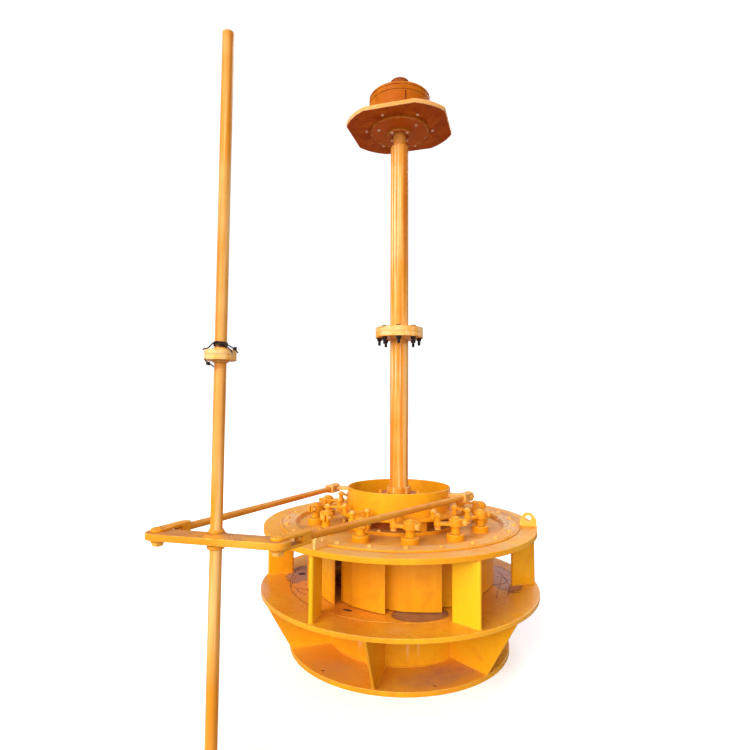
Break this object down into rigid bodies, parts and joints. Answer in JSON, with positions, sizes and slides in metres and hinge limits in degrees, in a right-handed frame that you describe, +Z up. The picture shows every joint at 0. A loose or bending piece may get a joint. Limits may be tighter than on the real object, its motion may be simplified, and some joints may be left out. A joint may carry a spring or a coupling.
{
  "type": "open-flume kaplan turbine set",
  "caption": "Vertical axial-flow water turbine: guide vanes moved by a regulating ring, runner, long main shaft with thrust bearing, and governor shaft with lever and rods.",
  "frame": {"origin": "middle of the set's footprint on the floor, between the turbine and the governor shaft", "axes": "+Z up along the main shaft, -Y towards the pictured front, +X to the right of the governor shaft"},
  "size_m": [1.953, 2.2528, 3.66],
  "materials": {
    "paint": "gloss",
    "shaft_end": "satin"
  },
  "bodies": {
    "root": {"bottom_flange": "paint", "throat_ring": "paint", "bottom_ring": "paint", "lower_stay_ring": "paint", "stay_vane_1": "paint", "stay_vane_2": "paint", "stay_vane_3": "paint", "stay_vane_4": "paint", "stay_vane_5": "paint", "stay_vane_6": "paint", "upper_stay_ring": "paint", "lifting_lug_1": "paint", "lifting_lug_2": "paint", "lifting_lug_3": "paint", "head_cover": "paint", "inner_cover": "paint", "seal_housing": "paint", "ring_support": "paint", "bearing_plate": "paint", "bearing_housing": "paint", "bearing_lower_cover": "paint", "governor_foot_bearing": "paint"},
    "rotor": {"lower_main_shaft": "paint", "upper_main_shaft": "paint", "shaft_end": "shaft_end", "runner_hub": "paint", "runner_blade_1": "paint", "runner_blade_2": "paint", "runner_blade_3": "paint", "runner_blade_4": "paint"},
    "regulating_ring": {"regulating_ring": "paint"},
    "governor": {"governor_lower_shaft": "paint", "governor_upper_shaft": "paint", "cross_lever": "paint"},
    "rod_right": {"push_rod_right": "paint"},
    "rod_left": {"push_rod_left": "paint"},
    "vane_1": {"guide_vane_1": "paint"},
    "link_1": {"vane_link_1": "paint"},
    "vane_2": {"guide_vane_2": "paint"},
    "link_2": {"vane_link_2": "paint"},
    "vane_3": {"guide_vane_3": "paint"},
    "link_3": {"vane_link_3": "paint"},
    "vane_4": {"guide_vane_4": "paint"},
    "link_4": {"vane_link_4": "paint"},
    "vane_5": {"guide_vane_5": "paint"},
    "link_5": {"vane_link_5": "paint"},
    "vane_6": {"guide_vane_6": "paint"},
    "link_6": {"vane_link_6": "paint"},
    "vane_7": {"guide_vane_7": "paint"},
    "link_7": {"vane_link_7": "paint"},
    "vane_8": {"guide_vane_8": "paint"},
    "link_8": {"vane_link_8": "paint"},
    "vane_9": {"guide_vane_9": "paint"},
    "link_9": {"vane_link_9": "paint"},
    "vane_10": {"guide_vane_10": "paint"},
    "link_10": {"vane_link_10": "paint"},
    "vane_11": {"guide_vane_11": "paint"},
    "link_11": {"vane_link_11": "paint"},
    "vane_12": {"guide_vane_12": "paint"},
    "link_12": {"vane_link_12": "paint"}
  },
  "joints": [
    {"name": "shaft_turn", "type": "hinge", "parent": "root", "child": "rotor", "pos_m": [0.11648, 0.26644, 1], "axis": [0, 0, 1], "continuous": true},
    {"name": "governor_turn", "type": "hinge", "parent": "root", "child": "governor", "pos_m": [-0.66852, -1.01155, 0.93], "axis": [0, 0, 1], "range_deg": [0, 21]},
    {"name": "ring_turn", "type": "hinge", "parent": "root", "child": "regulating_ring", "pos_m": [0.11648, 0.26644, 0.8], "axis": [0, 0, 1], "range_deg": [0, 11.38]},
    {"name": "rod_right_turn", "type": "hinge", "parent": "governor", "child": "rod_right", "pos_m": [-0.41055, -1.07645, 0.929], "axis": [0, 0, 1], "range_deg": [-21.74, 0]},
    {"name": "rod_left_turn", "type": "hinge", "parent": "governor", "child": "rod_left", "pos_m": [-0.92648, -0.94666, 0.929], "axis": [0, 0, 1], "range_deg": [-20.25, 0]},
    {"name": "vane_1_turn", "type": "hinge", "parent": "root", "child": "vane_1", "pos_m": [0.15345, -0.26226, 0.53], "axis": [0, 0, 1], "range_deg": [-30.49, 0]},
    {"name": "link_1_turn", "type": "hinge", "parent": "vane_1", "child": "link_1", "pos_m": [0.06599, -0.21378, 0.85], "axis": [0, 0, 1], "range_deg": [0, 2.68]},
    {"name": "vane_2_turn", "type": "hinge", "parent": "root", "child": "vane_2", "pos_m": [0.41285, -0.17294, 0.53], "axis": [0, 0, 1], "range_deg": [-30.49, 0]},
    {"name": "link_2_turn", "type": "hinge", "parent": "vane_2", "child": "link_2", "pos_m": [0.31287, -0.17469, 0.85], "axis": [0, 0, 1], "range_deg": [0, 2.68]},
    {"name": "vane_3_turn", "type": "hinge", "parent": "root", "child": "vane_3", "pos_m": [0.59284, 0.03411, 0.53], "axis": [0, 0, 1], "range_deg": [-30.49, 0]},
    {"name": "link_3_turn", "type": "hinge", "parent": "vane_3", "child": "link_3", "pos_m": [0.50713, -0.0174, 0.85], "axis": [0, 0, 1], "range_deg": [0, 2.68]},
    {"name": "vane_4_turn", "type": "hinge", "parent": "root", "child": "vane_4", "pos_m": [0.64519, 0.30342, 0.53], "axis": [0, 0, 1], "range_deg": [-30.49, 0]},
    {"name": "link_4_turn", "type": "hinge", "parent": "vane_4", "child": "link_4", "pos_m": [0.59671, 0.21595, 0.85], "axis": [0, 0, 1], "range_deg": [0, 2.68]},
    {"name": "vane_5_turn", "type": "hinge", "parent": "root", "child": "vane_5", "pos_m": [0.55587, 0.56282, 0.53], "axis": [0, 0, 1], "range_deg": [-30.49, 0]},
    {"name": "link_5_turn", "type": "hinge", "parent": "vane_5", "child": "link_5", "pos_m": [0.55762, 0.46283, 0.85], "axis": [0, 0, 1], "range_deg": [0, 2.68]},
    {"name": "vane_6_turn", "type": "hinge", "parent": "root", "child": "vane_6", "pos_m": [0.34882, 0.74281, 0.53], "axis": [0, 0, 1], "range_deg": [-30.49, 0]},
    {"name": "link_6_turn", "type": "hinge", "parent": "vane_6", "child": "link_6", "pos_m": [0.40032, 0.65709, 0.85], "axis": [0, 0, 1], "range_deg": [0, 2.68]},
    {"name": "vane_7_turn", "type": "hinge", "parent": "root", "child": "vane_7", "pos_m": [0.07951, 0.79515, 0.53], "axis": [0, 0, 1], "range_deg": [-30.49, 0]},
    {"name": "link_7_turn", "type": "hinge", "parent": "vane_7", "child": "link_7", "pos_m": [0.16697, 0.74667, 0.85], "axis": [0, 0, 1], "range_deg": [0, 2.68]},
    {"name": "vane_8_turn", "type": "hinge", "parent": "root", "child": "vane_8", "pos_m": [-0.17989, 0.70583, 0.53], "axis": [0, 0, 1], "range_deg": [-30.49, 0]},
    {"name": "link_8_turn", "type": "hinge", "parent": "vane_8", "child": "link_8", "pos_m": [-0.07991, 0.70758, 0.85], "axis": [0, 0, 1], "range_deg": [0, 2.68]},
    {"name": "vane_9_turn", "type": "hinge", "parent": "root", "child": "vane_9", "pos_m": [-0.35988, 0.49878, 0.53], "axis": [0, 0, 1], "range_deg": [-30.49, 0]},
    {"name": "link_9_turn", "type": "hinge", "parent": "vane_9", "child": "link_9", "pos_m": [-0.27416, 0.55029, 0.85], "axis": [0, 0, 1], "range_deg": [0, 2.68]},
    {"name": "vane_10_turn", "type": "hinge", "parent": "root", "child": "vane_10", "pos_m": [-0.41223, 0.22947, 0.53], "axis": [0, 0, 1], "range_deg": [-30.49, 0]},
    {"name": "link_10_turn", "type": "hinge", "parent": "vane_10", "child": "link_10", "pos_m": [-0.36375, 0.31694, 0.85], "axis": [0, 0, 1], "range_deg": [0, 2.68]},
    {"name": "vane_11_turn", "type": "hinge", "parent": "root", "child": "vane_11", "pos_m": [-0.32291, -0.02993, 0.53], "axis": [0, 0, 1], "range_deg": [-30.49, 0]},
    {"name": "link_11_turn", "type": "hinge", "parent": "vane_11", "child": "link_11", "pos_m": [-0.32465, 0.07006, 0.85], "axis": [0, 0, 1], "range_deg": [0, 2.68]},
    {"name": "vane_12_turn", "type": "hinge", "parent": "root", "child": "vane_12", "pos_m": [-0.11585, -0.20992, 0.53], "axis": [0, 0, 1], "range_deg": [-30.49, 0]},
    {"name": "link_12_turn", "type": "hinge", "parent": "vane_12", "child": "link_12", "pos_m": [-0.16736, -0.1242, 0.85], "axis": [0, 0, 1], "range_deg": [0, 2.68]}
  ],
  "couplings": [
    {"joint": "ring_turn", "follows": "governor_turn", "ratio": 0.54202},
    {"joint": "rod_right_turn", "follows": "governor_turn", "ratio": -1.0354},
    {"joint": "rod_left_turn", "follows": "governor_turn", "ratio": -0.96438},
    {"joint": "vane_1_turn", "follows": "governor_turn", "ratio": -1.4521},
    {"joint": "link_1_turn", "follows": "governor_turn", "ratio": 0.12767},
    {"joint": "vane_2_turn", "follows": "governor_turn", "ratio": -1.4521},
    {"joint": "link_2_turn", "follows": "governor_turn", "ratio": 0.12767},
    {"joint": "vane_3_turn", "follows": "governor_turn", "ratio": -1.4521},
    {"joint": "link_3_turn", "follows": "governor_turn", "ratio": 0.12767},
    {"joint": "vane_4_turn", "follows": "governor_turn", "ratio": -1.4521},
    {"joint": "link_4_turn", "follows": "governor_turn", "ratio": 0.12767},
    {"joint": "vane_5_turn", "follows": "governor_turn", "ratio": -1.4521},
    {"joint": "link_5_turn", "follows": "governor_turn", "ratio": 0.12767},
    {"joint": "vane_6_turn", "follows": "governor_turn", "ratio": -1.4521},
    {"joint": "link_6_turn", "follows": "governor_turn", "ratio": 0.12767},
    {"joint": "vane_7_turn", "follows": "governor_turn", "ratio": -1.4521},
    {"joint": "link_7_turn", "follows": "governor_turn", "ratio": 0.12767},
    {"joint": "vane_8_turn", "follows": "governor_turn", "ratio": -1.4521},
    {"joint": "link_8_turn", "follows": "governor_turn", "ratio": 0.12767},
    {"joint": "vane_9_turn", "follows": "governor_turn", "ratio": -1.4521},
    {"joint": "link_9_turn", "follows": "governor_turn", "ratio": 0.12767},
    {"joint": "vane_10_turn", "follows": "governor_turn", "ratio": -1.4521},
    {"joint": "link_10_turn", "follows": "governor_turn", "ratio": 0.12767},
    {"joint": "vane_11_turn", "follows": "governor_turn", "ratio": -1.4521},
    {"joint": "link_11_turn", "follows": "governor_turn", "ratio": 0.12767},
    {"joint": "vane_12_turn", "follows": "governor_turn", "ratio": -1.4521},
    {"joint": "link_12_turn", "follows": "governor_turn", "ratio": 0.12767}
  ]
}
